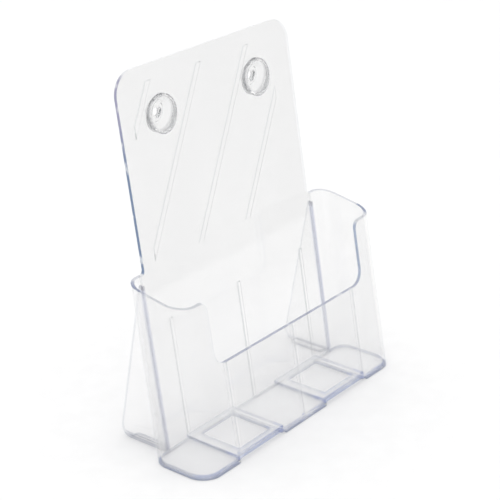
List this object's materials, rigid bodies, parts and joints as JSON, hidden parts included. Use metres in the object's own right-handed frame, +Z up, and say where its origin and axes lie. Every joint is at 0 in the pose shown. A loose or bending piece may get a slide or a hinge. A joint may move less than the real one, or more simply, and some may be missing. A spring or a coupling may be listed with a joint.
{
  "type": "brochure rack",
  "caption": "Clear one-pocket literature holder with a finger opening, a leaning back panel with screw cups, and rear fins, for a counter or a wall.",
  "frame": {"origin": "on the table, at the middle of the footprint", "axes": "+Z up, +X across the width to the right as seen from the front, +Y to the back; the finger opening faces -Y"},
  "size_m": [0.235, 0.096, 0.273],
  "materials": {
    "clear_plastic": "clear, polished, faintly blue at the edges"
  },
  "bodies": {
    "root": {"back_panel": "clear_plastic", "pocket_wall": "clear_plastic", "floor_tray": "clear_plastic", "left_fin": "clear_plastic", "right_fin": "clear_plastic", "left_screw_cup": "clear_plastic", "right_screw_cup": "clear_plastic"}
  },
  "joints": []
}
